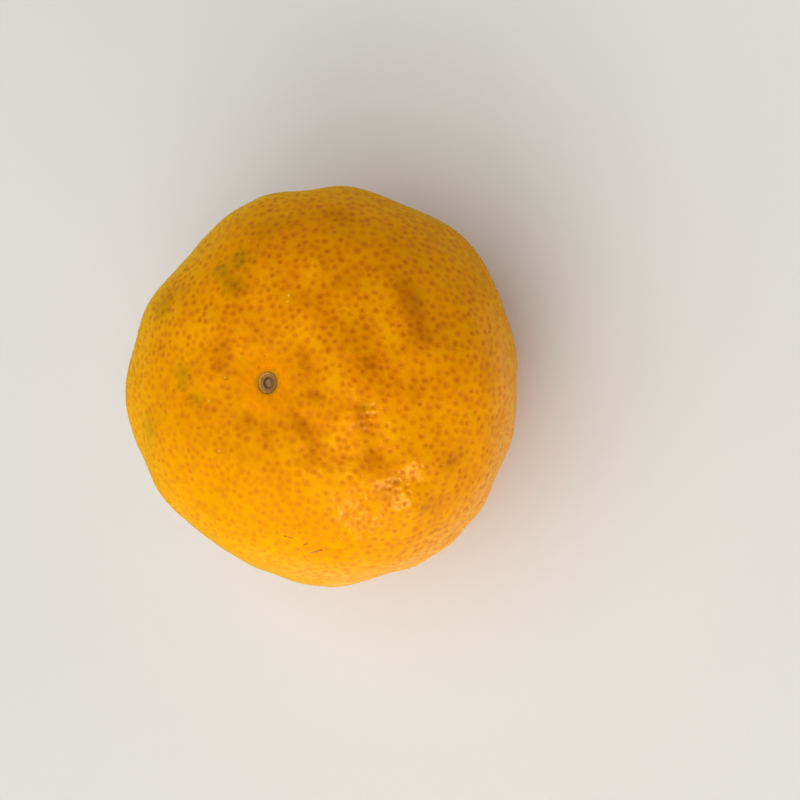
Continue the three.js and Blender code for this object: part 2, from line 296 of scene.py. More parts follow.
def gland_tree():
    """Scatters glands over the rind, each as a rosette of points: a middle and two rings."""
    tree = bpy.data.node_groups.new("oil_glands", "GeometryNodeTree")
    tree.interface.new_socket("Rind", in_out="INPUT", socket_type="NodeSocketGeometry")
    for name in ("Spacing", "Tried", "Smallest", "Largest", "Faintest"):
        tree.interface.new_socket(name, in_out="INPUT", socket_type="NodeSocketFloat")
    for name in ("Seed", "Ring Points"):
        tree.interface.new_socket(name, in_out="INPUT", socket_type="NodeSocketInt")
    tree.interface.new_socket("Skin", in_out="INPUT", socket_type="NodeSocketMaterial")
    tree.interface.new_socket("Rosettes", in_out="OUTPUT", socket_type="NodeSocketGeometry")
    given = tree.nodes.new("NodeGroupInput").outputs

    room = add_node(tree, "GeometryNodeInputNamedAttribute", {"Name": "room"}, data_type="FLOAT").outputs[0]
    scatter = add_node(
        tree,
        "GeometryNodeDistributePointsOnFaces",
        {"Mesh": given["Rind"], "Distance Min": given["Spacing"], "Density Max": given["Tried"],
         "Density Factor": room, "Seed": given["Seed"]},
        distribute_method="POISSON",
    )
    size = draw_number(tree, given["Smallest"], given["Largest"], given["Seed"])
    next_seed = add_node(tree, "ShaderNodeMath", {0: given["Seed"], 1: 1.0}, operation="ADD").outputs[0]
    depth = draw_number(tree, given["Faintest"], 1.0, next_seed)
    centre = tree.nodes.new("GeometryNodeInputPosition").outputs[0]
    points = scatter.outputs["Points"]
    stored = (("centre", "FLOAT_VECTOR", centre), ("size", "FLOAT", size), ("depth", "FLOAT", depth))
    for name, kind, value in stored:
        points = add_node(
            tree,
            "GeometryNodeStoreNamedAttribute",
            {"Geometry": points, "Name": name, "Value": value},
            data_type=kind,
            domain="POINT",
        ).outputs[0]

    rosette = tree.nodes.new("GeometryNodeJoinGeometry")
    middle = add_node(tree, "GeometryNodeMeshLine", {"Count": 1}).outputs[0]
    tree.links.new(middle, rosette.inputs[0])
    for number, radius in enumerate(RING_RADII):
        inputs = {"Vertices": given["Ring Points"], "Radius": radius}
        circle = add_node(tree, "GeometryNodeMeshCircle", inputs).outputs[0]
        turn = (0, 0, number * math.pi / RING_POINTS)
        turned = add_node(tree, "GeometryNodeTransform", {"Geometry": circle, "Rotation": turn})
        tree.links.new(turned.outputs[0], rosette.inputs[0])
    placed = add_node(
        tree,
        "GeometryNodeInstanceOnPoints",
        {"Points": points, "Instance": rosette.outputs[0], "Scale": size,
         "Rotation": scatter.outputs["Rotation"]},
    )
    real = add_node(tree, "GeometryNodeRealizeInstances", {0: placed.outputs[0]})
    skinned = add_node(tree, "GeometryNodeSetMaterial", {0: real.outputs[0], "Material": given["Skin"]})
    add_node(tree, "NodeGroupOutput", {0: skinned.outputs[0]})
    return tree


def unit(vectors):
    return vectors / np.linalg.norm(vectors, axis=1, keepdims=True)


def read_attribute(mesh, name, width):
    values = np.zeros(len(mesh.attributes[name].data) * width, np.float32)
    mesh.attributes[name].data.foreach_get("vector" if width == 3 else "value", values)
    return values.reshape(-1, width).astype(float)


def store_attribute(mesh, name, domain, values):
    values = np.array(values, np.float32)
    kind, field = ("FLOAT_VECTOR", "vector") if values.ndim == 2 else ("FLOAT", "value")
    mesh.attributes.new(name, kind, domain).data.foreach_set(field, values.ravel())


def scatter_glands(skin):
    """The rosettes' points and the glands' middles, from the star point, and their sizes and depths."""
    ball = bmesh.new()
    bmesh.ops.create_icosphere(ball, subdivisions=GROUND_CUTS, radius=1)
    mesh = bpy.data.meshes.new("rind_ground")
    ball.to_mesh(mesh)
    ball.free()
    ways = unit(read_attribute(mesh, "position", 3))
    points = ways * rind_radius(ways)[:, None]
    mesh.vertices.foreach_set("co", ((points + STAR) * MM).astype(np.float32).ravel())
    out = np.hypot(points[:, 0], points[:, 1])
    store_attribute(mesh, "room", "POINT", out > np.where(points[:, 2] > 0, SCAR_ROOM, CALYX_ROOM))

    ground = add_object("rind_ground", mesh)
    tree = gland_tree()
    modifier = ground.modifiers.new("oil glands", "NODES")
    modifier.node_group = tree
    wanted = {
        "Spacing": GLAND_SPACING * MM,
        "Tried": GLANDS_TRIED / MM ** 2,
        "Smallest": SMALLEST_GLAND * MM,
        "Largest": LARGEST_GLAND * MM,
        "Faintest": FAINTEST_GLAND,
        "Seed": GLAND_SEED,
        "Ring Points": RING_POINTS,
        "Skin": skin,
    }
    for socket in tree.interface.items_tree:
        if socket.name in wanted:
            modifier[socket.identifier] = wanted[socket.name]
    evaluated = ground.evaluated_get(bpy.context.evaluated_depsgraph_get())
    rosettes = bpy.data.meshes.new_from_object(evaluated)
    points = read_attribute(rosettes, "position", 3) / MM - STAR
    glands = read_attribute(rosettes, "centre", 3)[::ROSETTE_POINTS] / MM - STAR
    sizes = read_attribute(rosettes, "size", 1)[::ROSETTE_POINTS, 0] / MM
    depths = read_attribute(rosettes, "depth", 1)[::ROSETTE_POINTS, 0]
    ground.modifiers.remove(modifier)
    bpy.data.objects.remove(ground)
    return points, glands, sizes, depths


# The rind's net: points between the glands stand a little higher than the dimples. The net is
# tied into one closed skin, with a hole for the scar at the top and a cap below the calyx.
DIMPLE = 0.09
DIMPLE_SPREAD = 0.62
NET_RISE = 0.025
NET_ZONE = (0.8, 1.6)
FAINT_ZONE = (2.2, 6.5)
NEAR_GLANDS = 3
SAME_PLACE = 1e-9
LONGEST_TIE = 2.6
WIDE_TIE = 1.5
HOLE_RADIUS = 1.45
HOLE_FLOOR = 21.5
HOLE_RINGS = (1.56, 1.66, 1.82, 2.04)
HOLE_OVAL = 0.045
LIP_RADIUS = 1.9
LIP_WIDTH = 0.35
LIP_HEIGHT = 0.05
RING_STEPS = 40
CAP_ANGLE = 172.4
CAP_DROP = 21.75
SEAT_DEPTH = 0.16
SEAT_RADIUS = 4.9
SEAT_EDGE = 8


def tie_directions(ways):
    """Triangles that tie directions into a ball, open at the stem. Seen from the stem pole, round
    a ball and flat on a plane, circles stay circles, so a flat net of even triangles is a round one."""
    flat = ways[:, :2] / (1 + ways[:, 2:])
    corners = [Vector(place) for place in flat.tolist()]
    _, _, faces, before, _, _ = delaunay_2d_cdt(corners, [], [], 0, SAME_PLACE, True)
    order = np.array([same[0] for same in before])
    return order[np.array(faces)]


def net_points(glands):
    """The middle of each three neighbouring glands, and of each two that are wide apart."""
    threes = tie_directions(unit(glands))
    sides = np.linalg.norm(glands[threes] - glands[np.roll(threes, 1, axis=1)], axis=2)
    threes = threes[sides.max(axis=1) < LONGEST_TIE]
    pairs = np.sort(np.concatenate([threes[:, [0, 1]], threes[:, [1, 2]], threes[:, [2, 0]]]), axis=1)
    pairs = np.unique(pairs, axis=0)
    wide = np.linalg.norm(glands[pairs[:, 0]] - glands[pairs[:, 1]], axis=1) > WIDE_TIE
    return np.concatenate([glands[threes].mean(axis=1), glands[pairs[wide]].mean(axis=1)])


def scar_ring(radius, height):
    """Directions to an oval ring round the scar's axis."""
    turns = 2 * np.pi * np.arange(RING_STEPS) / RING_STEPS
    across = radius * (1 - HOLE_OVAL * np.cos(2 * turns))
    return unit(np.stack([across * np.cos(turns), across * np.sin(turns), np.full(RING_STEPS, height)], 1))


def gland_finder(glands):
    tree = KDTree(len(glands))
    for number, gland in enumerate(glands):
        tree.insert(gland, number)
    tree.balance()
    return tree


def nearest_glands(places, tree, sizes):
    """For each place, the gland it lies deepest in, and how far from its middle in gland sizes."""
    owners, shares = [], []
    for place in places:
        near = [(number, apart / sizes[number]) for _, number, apart in tree.find_n(place, NEAR_GLANDS)]
        owner, share = min(near, key=lambda found: found[1])
        owners.append(owner)
        shares.append(share)
    return np.array(owners), np.array(shares)


def tie_rind(rosettes, glands, sizes, depths, tree):
    """The rind's points, from the star point, and its triangles."""
    # a rosette's point that lies deeper in the next gland is left out
    own = np.repeat(np.arange(len(glands)), ROSETTE_POINTS)
    rosettes = rosettes[nearest_glands(rosettes, tree, sizes)[0] == own]
    surface = np.concatenate([rosettes, net_points(glands)])
    owner, share = nearest_glands(surface, tree, sizes)
    dimples = DIMPLE * depths[owner] * bell(share, DIMPLE_SPREAD)
    relief = NET_RISE * smooth_step(share, *NET_ZONE) - dimples

    hole = [scar_ring(radius, TOP_RISE - BLOSSOM_BASIN[0]) for radius in HOLE_RINGS]
    floor = np.concatenate([scar_ring(radius, HOLE_FLOOR) for radius in (HOLE_RADIUS, HOLE_RADIUS / 2)])
    cap = scar_ring(-math.tan(math.radians(CAP_ANGLE)), -1)
    ways = np.concatenate([unit(surface), *hole, floor, [[0, 0, 1]], cap])
    radius = rind_radius(ways)
    radius[:len(surface)] += relief
    level = radius * np.hypot(ways[:, 0], ways[:, 1])
    lip = LIP_HEIGHT * bell(level - LIP_RADIUS, LIP_WIDTH)
    seat = SEAT_DEPTH * bell(level, SEAT_RADIUS, SEAT_EDGE)
    radius += np.where(ways[:, 2] > 0, lip, -seat)
    bottom = slice(len(ways) - len(cap) - 1 - len(floor), len(ways) - len(cap))
    radius[bottom] = HOLE_FLOOR / ways[bottom, 2]
    points = ways * radius[:, None]
    points[:, 2] = np.maximum(points[:, 2], -REST_DROP)

    pole = len(ways)
    rim = np.arange(pole - len(cap), pole)
    fan = np.stack([rim, np.full(len(rim), pole), np.roll(rim, -1)], 1)
    return np.concatenate([points, [[0, 0, -CAP_DROP]]]), np.concatenate([tie_directions(ways), fan])


def make_mesh(name, points, faces, material):
    """A smooth mesh, from points in millimetres from the star point."""
    mesh = bpy.data.meshes.new(name)
    mesh.from_pydata(((np.array(points) + STAR) * MM).tolist(), [], faces)
    mesh.polygons.foreach_set("use_smooth", np.ones(len(faces), bool))
    mesh.update()
    mesh.materials.append(material)
    return mesh


def rind_mesh(skin):
    rosettes, glands, sizes, depths = scatter_glands(skin)
    out = np.hypot(glands[:, 0], glands[:, 1])
    depths = depths * np.where(glands[:, 2] > 0, smooth_step(out, *FAINT_ZONE), 1)
    tree = gland_finder(glands)
    points, faces = tie_rind(rosettes, glands, sizes, depths, tree)
    mesh = make_mesh("rind", points, faces.tolist(), skin)

    # each face knows its own gland, so that the skin can darken round the gland's middle
    owner, _ = nearest_glands(points[faces].mean(axis=1), tree, sizes)
    store_attribute(mesh, "gland_centre", "FACE", glands[owner])
    store_attribute(mesh, "gland_size", "FACE", sizes[owner])
    store_attribute(mesh, "gland_depth", "FACE", depths[owner])
    # the folds' painted shade and painted light, kept with the points for the skin's colour
    store_attribute(mesh, "fold_light_and_shade", "POINT", stroke_heights(unit(points), PAINTED_FOLD_SHADE + PAINTED_FOLD_LIGHT))
    print("rind:", len(glands), "glands,", len(faces), "triangles")
    return mesh


# The rind's look: a waxy orange skin, lighter on the net between the glands and deeper orange
# over each gland, with green left where it ripened last and a few brown rub marks.
NET_COLOUR = (0.95, 0.368, 0.0003)
DEEP_COLOUR = (0.82, 0.255, 0.0002)
YELLOW_COLOUR = (0.98, 0.475, 0.0005)
PAINTED_FOLD_LIGHT_COLOUR = (0.99, 0.425, 0.0005)
GLAND_COLOUR = (0.62, 0.138, 0.0002)
GREEN_COLOUR = (0.46, 0.245, 0.0005)
GREEN_GLAND_COLOUR = (0.43, 0.15, 0.0005)
CALM_COLOUR = (0.97, 0.31, 0.0003)
HALO_COLOUR = (0.42, 0.2, 0.01)
PAINTED_GLINT_COLOUR = (0.98, 0.62, 0.13)
SPECK_COLOUR = (0.6, 0.02, 0.0002)
SHADE = (0.71, 0.58, 0.6)
SCRATCH_EDGE = (0.22, 0.05, 0.002)
SCRATCH_MIDDLE = (0.74, 0.38, 0.13)
WAX_TINT = (1.0, 0.7, 0.2, 1)
# azimuth and latitude of the side the lamps leave in shade, where the orange is painted deeper as painted
# shade, and of the lit side, where the glands are painted fainter as painted light
SHADED_SIDE = (15, 25)
LIT_SIDE = (230, 12)
# both ends as azimuth and latitude, width, and how much painted shade darkens the orange in the folds
PAINTED_FOLD_SHADE = [
    ((40, 34), (20, 37), 2.1, -0.22),
    ((22, 38), (12, 35), 1.5, -0.16),
    ((15, 56), (3, 52), 1.5, -0.12),
    ((0, 42), (352, 38), 1.6, -0.12),
    ((50, 72), (5, 70), 1.5, -0.16),
    ((57, 50), (50, 47), 1.4, -0.14),
    ((77, 30), (66, 28), 2, -0.16),
    ((104, 38), (78, 32), 2.2, -0.12),
    ((115, 52), (106, 58), 1.5, -0.16),
    ((130, 67), (170, 71), 2.2, -0.16),
    ((150, 30), (136, 42), 2.4, -0.14),
    ((230, 77), (248, 73), 1.5, -0.12),
    ((272, 75), (270, 66), 1.2, -0.14),
    ((318, 77), (308, 64), 1.4, -0.16),
    ((308, 64), (302, 58), 1.3, -0.14),
    ((316, 28), (325, 18), 1.5, -0.14),
    ((316, 41), (315, 33), 1.1, -0.16),
    ((323, 39), (321, 36), 1.2, -0.22),
    ((327, 50), (322, 43), 1.5, -0.2),
    ((331, 28), (341, 19), 1.6, -0.16),
    ((348, 57), (332, 51), 1.2, -0.22),
    ((352, 74), (342, 68), 1.4, -0.2),
]
# the same, with how much painted light brightens the folds' lit slopes
PAINTED_FOLD_LIGHT = [
    ((28, 67), (350, 64), 2.4, 0.12),
    ((60, 67), (28, 67), 1.6, 0.12),
    ((45, 40), (33, 46), 1.6, 0.1),
    ((33, 46), (10, 45), 1.6, 0.12),
    ((46, 54), (34, 52), 1.3, 0.12),
    ((72, 50), (64, 48), 1.8, 0.12),
    ((97, 53), (86, 57), 2, 0.12),
    ((128, 56), (155, 58), 2.4, 0.14),
    ((152, 52), (182, 58), 2.4, 0.08),
    ((190, 48), (215, 50), 2.2, 0.1),
    ((288, 70), (283, 60), 1.2, 0.1),
    ((292, 54), (300, 38), 4, 0.06),
    ((312, 52), (308, 48), 1.6, 0.08),
    ((322, 62), (316, 58), 1.4, 0.1),
    ((345, 47), (334, 44), 1.4, 0.12),
]
# azimuth, latitude and radius
GREEN_PATCHES = [
    (106, 46, 2.4),
    (116, 48, 2.2),
    (113, 54, 2.4),
    (149, 38, 2.8),
    (175, 57, 1.9),
    (192, 62, 1.4),
    (197, 38, 2.4),
    (346, 55, 1.2),
]
# both ends as azimuth and latitude, and width
SCRATCHES = [
    ((279, 31), (283.5, 31.5), 0.4),
    ((278, 34), (280, 35), 0.32),
    ((272, 38), (275, 37), 0.28),
    ((313, 13), (314, 11), 0.4),
]
# azimuth and latitude
# painted glints: small pale spots that stand for glints of light; then dark specks
PAINTED_GLINTS = [(76, 59), (75, 61), (151, 49), (173, 74), (196, 67), (233, 61), (292, 33)]
SPECKS = [(122, 71), (97, 80), (122, 83), (190, 59)]
# mottles: size, detail, and the noise where each starts and where it is full
BROAD_DRIFT = (9.0, 1.0, 0.3, 0.7)
SMALL_DRIFT = (2.6, 3.0, 0.3, 0.72)
FINE_DRIFT = (0.8, 3.0, 0.3, 0.72)
YELLOW_BLOTCHES = (1.9, 2.0, 0.4, 0.64)
CALM_STREAKS = (0.9, 4.0, 0.45, 0.6)
GREEN_DOTS = (0.3, 2.0, 0.42, 0.72)
GREEN_EDGE = (2.2, 4.0, 0.2, 0.8)
GLAND_EDGE = (0.5, 1.0, 0.2, 0.8)
MARK_EDGE = (0.22, 2.0, 0.2, 0.8)
HEALED_SKIN = (0.5, 1.0, 0.42, 0.56)
PORES = (0.16, 2.0, 0.2, 0.8)
NOISE_ROUGHNESS = 0.55
# fades: start, end, and the shares at the end and at the start where they aren't 1 and 0
GLAND_FADE = (1.6, 0.2)
RIDGE_YELLOW_AND_SHEEN_FADE = (1.4, 2.1, 0.45)
SHADED_SIDE_FADE = (-22.0, 26.0, 0.55)
YELLOW_OUT = (14.0, 28.0, 0.8, 0.12)
YELLOW_AWAY = (0.5, 0.15, 0.85, 0.3)
FOLD_LIGHT_FADE = (0.0, 0.14, 0.6)
FOLD_SHADE_FADE = (0.0, -0.22, 0.75)
CALM_ZONE = (6.0, 2.4, 0.92)
HALO_ZONE = (2.3, 1.5, 0.6)
GREEN_FADE = (0.9, -0.4)
LIT_FADE = (0.0, 28.0, 0.5, 0.88)
SCRATCH_RIM = (1.0, 0.7, 0.8)
SCRATCH_HEART = (0.8, 0.5, 0.9)
PAINTED_GLINT_SPOT = (0.26, 0.14, 0.9)
SPECK_SPOT = (0.3, 0.08, 0.5)
# shares of a mottle or a mask
BROAD_SHARE = 0.2
SMALL_SHARE = 0.3
YELLOW_LEAST = 0.6
YELLOW_RANGE = 0.3
FINE_SHARE = 0.14
STREAK_SHARE = 0.8
GREEN_LEAST = 0.36
GREEN_RANGE = 0.42
GLAND_FRAY = 0.5
SCRATCH_FRAY = 0.9
PAINTED_GLINT_FRAY = 0.15
# roughness of the wax, and what the small drift and the glands add
WAX_ROUGHNESS = 0.1
SMALL_ROUGHNESS = 0.08
GLAND_ROUGHNESS = 0.4
# heights of the bump
GLAND_RELIEF = -0.025
PORE_RELIEF = 0.008
SMALL_RELIEF = 0.03
FINE_RELIEF = 0.032


def calculate(tree, operation, *values):
    return add_node(tree, "ShaderNodeMath", dict(enumerate(values)), operation=operation).outputs[0]


def add_shares(tree, start, *parts):
    """The start, with a share of each mask added."""
    for mask, share in parts:
        start = calculate(tree, "MULTIPLY_ADD", mask, share, start)
    return start


def measure(tree, operation, *vectors):
    """A number from one or two vectors: their dot product, or how far apart they are."""
    inputs = dict(enumerate(vectors))
    return add_node(tree, "ShaderNodeVectorMath", inputs, operation=operation).outputs["Value"]


def toward(tree, place, side):
    """How far a place lies to one side, given as azimuth and latitude."""
    return measure(tree, "DOT_PRODUCT", place, tuple(direction(*side)))


def between(tree, start, end):
    return add_node(tree, "ShaderNodeVectorMath", {0: end, 1: start}, operation="SUBTRACT").outputs[0]


def fade(tree, value, start, end, last=1.0, first=0.0):
    """From first at the start to last at the end, with soft ends."""
    inputs = {"Value": value, "From Min": start, "From Max": end, "To Min": first, "To Max": last}
    return add_node(tree, "ShaderNodeMapRange", inputs, interpolation_type="SMOOTHSTEP").outputs[0]


def mix_colours(tree, share, first, second, blend="MIX"):
    first, second = [(*c, 1) if isinstance(c, tuple) else c for c in (first, second)]
    inputs = {0: share, 6: first, 7: second}
    return add_node(tree, "ShaderNodeMix", inputs, data_type="RGBA", blend_type=blend).outputs[2]


def tint(tree, colour, mask, share, added):
    """The colour, with another mixed in by a share of the mask."""
    return mix_colours(tree, calculate(tree, "MULTIPLY", mask, share), colour, added)


def new_group(name, vectors, numbers, result):
    tree = bpy.data.node_groups.new(name, "ShaderNodeTree")
    for names, kind in ((vectors, "NodeSocketVector"), (numbers, "NodeSocketFloat")):
        for socket in names:
            tree.interface.new_socket(socket, in_out="INPUT", socket_type=kind)
    tree.interface.new_socket(result, in_out="OUTPUT", socket_type="NodeSocketFloat")
    return tree, tree.nodes.new("NodeGroupInput").outputs


def mottle_group():
    """Soft blotches of one size, from 0 to 1."""
    tree, given = new_group("mottle", ("Place",), ("Size", "Detail", "Low", "High"), "Mask")
    scale = calculate(tree, "DIVIDE", 1.0, given["Size"])
    inputs = {"Vector": given["Place"], "Scale": scale, "Detail": given["Detail"],
              "Roughness": NOISE_ROUGHNESS}
    noise = add_node(tree, "ShaderNodeTexNoise", inputs).outputs[0]
    add_node(tree, "NodeGroupOutput", {0: fade(tree, noise, given["Low"], given["High"])})
    return tree


def line_group():
    """How far a place is from the straight line between two points."""
    tree, given = new_group("line_distance", ("Place", "Start", "End"), (), "Distance")
    run = between(tree, given["Start"], given["End"])
    rest = between(tree, given["Start"], given["Place"])
    shadow = measure(tree, "DOT_PRODUCT", rest, run)
    along = calculate(tree, "DIVIDE", shadow, measure(tree, "DOT_PRODUCT", run, run))
    along = add_node(tree, "ShaderNodeClamp", {0: along}).outputs[0]
    inputs = {0: run, "Scale": along}
    nearest = add_node(tree, "ShaderNodeVectorMath", inputs, operation="SCALE").outputs[0]
    add_node(tree, "NodeGroupOutput", {0: measure(tree, "DISTANCE", rest, nearest)})
    return tree


mottle_tree = mottle_group()
line_tree = line_group()


def mottle(tree, place, size, detail, low, high):
    inputs = {"Place": place, "Size": size, "Detail": detail, "Low": low, "High": high}
    return add_node(tree, "ShaderNodeGroup", inputs, node_tree=mottle_tree).outputs[0]


def fray(tree, value, texture, amount):
    """The value, made uneven by up to half the amount either way."""
    return calculate(tree, "ADD", value, add_shares(tree, -amount / 2, (texture, amount)))


def attribute(tree, name, output="Fac"):
    inputs = {"attribute_name": name, "attribute_type": "GEOMETRY"}
    return add_node(tree, "ShaderNodeAttribute", **inputs).outputs[output]


def new_material(name):
    """A new material, its nodes and its shader, and places in millimetres from the star point."""
    material = bpy.data.materials.new(name)
    material.use_nodes = True
    tree = material.node_tree
    tree.nodes.clear()
    shader = tree.nodes.new("ShaderNodeBsdfPrincipled")
    output = tree.nodes.new("ShaderNodeOutputMaterial")
    tree.links.new(shader.outputs[0], output.inputs[0])
    where = tree.nodes.new("ShaderNodeTexCoord").outputs["Object"]
    inputs = {"Vector": where, "Location": tuple(-STAR), "Scale": (1 / MM,) * 3}
    return material, tree, shader, add_node(tree, "ShaderNodeMapping", inputs).outputs[0]


def add_relief(tree, shader, height):
    """Bump, from a height in millimetres."""
    bump = add_node(tree, "ShaderNodeBump", {"Height": height, "Distance": MM, "Strength": 1.0})
    tree.links.new(bump.outputs[0], shader.inputs["Normal"])


def from_axis(tree, place):
    """How far a place is from the fruit's axis, and its height."""
    split = add_node(tree, "ShaderNodeSeparateXYZ", {0: place}).outputs
    across = add_node(tree, "ShaderNodeCombineXYZ", {0: split[0], 1: split[1]}).outputs[0]
    return measure(tree, "LENGTH", across), split[2]


def from_spot(tree, place, azimuth, latitude):
    """How far a place is from a spot on the rind."""
    return measure(tree, "DISTANCE", place, on_rind(azimuth, latitude))


def on_rind(azimuth, latitude):
    way = direction(azimuth, latitude)
    return tuple(way * rind_radius(way[None])[0])


def gland_masks(tree, place):
    """How far a place is from its gland's middle, in gland sizes, and how much the gland shows."""
    from_gland = measure(tree, "DISTANCE", place, attribute(tree, "gland_centre", "Vector"))
    share = calculate(tree, "DIVIDE", from_gland, attribute(tree, "gland_size"))
    share = fray(tree, share, mottle(tree, place, *GLAND_EDGE), GLAND_FRAY)
    gland = calculate(tree, "MULTIPLY", fade(tree, share, *GLAND_FADE), attribute(tree, "gland_depth"))
    return share, gland


def drifting_orange(tree, place, out, share, small, fine):
    """The skin between the glands, deeper orange towards the side the lamps leave in shade, which is painted
    shade, and yellower away from it.
    """
    shaded_side = fade(tree, toward(tree, place, SHADED_SIDE), *SHADED_SIDE_FADE)
    broad = mottle(tree, place, *BROAD_DRIFT)
    drift = add_shares(tree, shaded_side, (broad, BROAD_SHARE), (small, SMALL_SHARE))
    colour = mix_colours(tree, drift, NET_COLOUR, DEEP_COLOUR)
    away = calculate(tree, "MULTIPLY", fade(tree, out, *YELLOW_OUT), fade(tree, shaded_side, *YELLOW_AWAY))
    blotches = add_shares(tree, YELLOW_LEAST, (mottle(tree, place, *YELLOW_BLOTCHES), YELLOW_RANGE))
    colour = tint(tree, colour, blotches, away, YELLOW_COLOUR)
    # yellow on the net's ridges between the glands: partly the net's own colour, partly a painted highlight
    # on the ridges
    colour = tint(tree, colour, fade(tree, share, *RIDGE_YELLOW_AND_SHEEN_FADE), fine, YELLOW_COLOUR)
    return tint(tree, colour, fine, FINE_SHARE, GLAND_COLOUR)


def left_green(tree, place):
    """How green the rind is, in ragged patches."""
    ragged = mottle(tree, place, *GREEN_EDGE)
    green = 0.0
    for azimuth, latitude, radius in GREEN_PATCHES:
        apart = calculate(tree, "DIVIDE", from_spot(tree, place, azimuth, latitude), radius)
        reach = calculate(tree, "SUBTRACT", apart, ragged)
        green = calculate(tree, "MAXIMUM", green, fade(tree, reach, *GREEN_FADE))
    return green


def add_marks(tree, place, colour):
    """Brown scratches, paler where they healed, painted glints as small pale spots, and dark specks."""
    ragged = mottle(tree, place, *MARK_EDGE)
    healed = mottle(tree, place, *HEALED_SKIN)
    for start, end, width in SCRATCHES:
        inputs = {"Place": place, "Start": on_rind(*start), "End": on_rind(*end)}
        from_line = add_node(tree, "ShaderNodeGroup", inputs, node_tree=line_tree).outputs[0]
        apart = calculate(tree, "DIVIDE", from_line, width)
        apart = add_shares(tree, apart, (ragged, SCRATCH_FRAY))
        colour = mix_colours(tree, fade(tree, apart, *SCRATCH_RIM), colour, SCRATCH_EDGE)
        colour = tint(tree, colour, fade(tree, apart, *SCRATCH_HEART), healed, SCRATCH_MIDDLE)
    for painted_glint in PAINTED_GLINTS:
        apart = add_shares(tree, from_spot(tree, place, *painted_glint), (ragged, PAINTED_GLINT_FRAY))
        colour = mix_colours(tree, fade(tree, apart, *PAINTED_GLINT_SPOT), colour, PAINTED_GLINT_COLOUR)
    for speck in SPECKS:
        apart = from_spot(tree, place, *speck)
        colour = mix_colours(tree, fade(tree, apart, *SPECK_SPOT), colour, SPECK_COLOUR)
    return colour


def rind_material():
    material, tree, shader, place = new_material("mandarin_rind")
    out, height = from_axis(tree, place)
    top = calculate(tree, "GREATER_THAN", height, 0.0)
    share, gland = gland_masks(tree, place)
    small = mottle(tree, place, *SMALL_DRIFT)
    fine = mottle(tree, place, *FINE_DRIFT)
    colour = drifting_orange(tree, place, out, share, small, fine)

    # painted light in streaks over the folds' lit slopes, then the smooth bright zone round the scar
    fold_light_and_shade = attribute(tree, "fold_light_and_shade")
    colour = mix_colours(tree, fade(tree, fold_light_and_shade, *FOLD_LIGHT_FADE), colour, PAINTED_FOLD_LIGHT_COLOUR)
    calm = calculate(tree, "MULTIPLY", fade(tree, out, *CALM_ZONE), top)
    colour = mix_colours(tree, calm, colour, CALM_COLOUR)
    streaks = calculate(tree, "MULTIPLY", mottle(tree, place, *CALM_STREAKS), calm)
    colour = tint(tree, colour, streaks, STREAK_SHARE, DEEP_COLOUR)

    # what is left of the green, the glands over it, and painted shade in the folds
    green = left_green(tree, place)
    dots = add_shares(tree, GREEN_LEAST, (mottle(tree, place, *GREEN_DOTS), GREEN_RANGE))
    colour = tint(tree, colour, green, dots, GREEN_COLOUR)
    gland_colour = mix_colours(tree, green, GLAND_COLOUR, GREEN_GLAND_COLOUR)
    # the glands are painted fainter towards the lit side: painted light
    lit_side_gland_share = fade(tree, toward(tree, place, LIT_SIDE), *LIT_FADE)
    colour = tint(tree, colour, gland, lit_side_gland_share, gland_colour)
    colour = mix_colours(tree, fade(tree, fold_light_and_shade, *FOLD_SHADE_FADE), colour, SHADE, "MULTIPLY")
    colour = tint(tree, colour, fade(tree, out, *HALO_ZONE), top, HALO_COLOUR)
    tree.links.new(add_marks(tree, place, colour), shader.inputs["Base Color"])

    rough = add_shares(tree, WAX_ROUGHNESS, (small, SMALL_ROUGHNESS), (gland, GLAND_ROUGHNESS))
    tree.links.new(rough, shader.inputs["Roughness"])
    shader.inputs["Specular IOR Level"].default_value = 0.35
    shader.inputs["Specular Tint"].default_value = WAX_TINT
    shader.inputs["Subsurface Weight"].default_value = 0.15
    shader.inputs["Subsurface Radius"].default_value = (1.0, 0.35, 0.08)
    shader.inputs["Subsurface Scale"].default_value = MM
    pores = mottle(tree, place, *PORES)
    heights = (gland, GLAND_RELIEF), (pores, PORE_RELIEF), (small, SMALL_RELIEF), (fine, FINE_RELIEF)
    add_relief(tree, shader, add_shares(tree, 0.0, *heights))
    return material


rind = add_object("rind", rind_mesh(rind_material()))
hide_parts("fruit")
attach(rind, "root")


# The style scar: the dry corky button left where the flower's style fell off. It sits in its
# hole at the blossom end, a little oval, with a thin pale rim, a groove darkened by painted shade, most on
# one side, and a low boss.
SCAR_RADIUS = 1.5
SCAR_BOTTOM = 21.52
SCAR_RIM = 22.2
SCAR_SPOKES = 120
BOSS_SHIFT = 0.17
GROOVE_SIDE = 170
GROOVE_DEPTH = 0.24
GROOVE_PLACE = 0.48
GROOVE_WIDTH = 0.11
GROOVE_LEAN = 0.4
# count, phase and height of the waves in its edge, as shares of the radius
SCAR_WAVES = [(3, 0.6, 0.02), (7, 2, 0.008)]
SCAR_TILT = 0.015
SCAR_CRACKS = 0.012
# share of the radius, and height below the rim
SCAR_PROFILE = [
    (0.0, -0.19), (0.05, -0.18), (0.12, -0.13), (0.2, -0.12), (0.28, -0.13), (0.34, -0.14), (0.39, -0.15),
    (0.44, -0.16), (0.5, -0.15), (0.55, -0.14), (0.6, -0.12), (0.66, -0.1), (0.7, -0.11), (0.74, -0.07),
    (0.79, -0.06), (0.83, -0.09), (0.87, -0.05), (0.91, 0.0), (0.95, 0.01), (0.985, -0.04), (1.0, -0.12),
    (1.0, -0.4), (0.96, SCAR_BOTTOM - SCAR_RIM),
]


def ripple(turn, waves):
    """The sum of waves round the axis."""
    return sum(height * math.sin(count * turn + phase) for count, phase, height in waves)


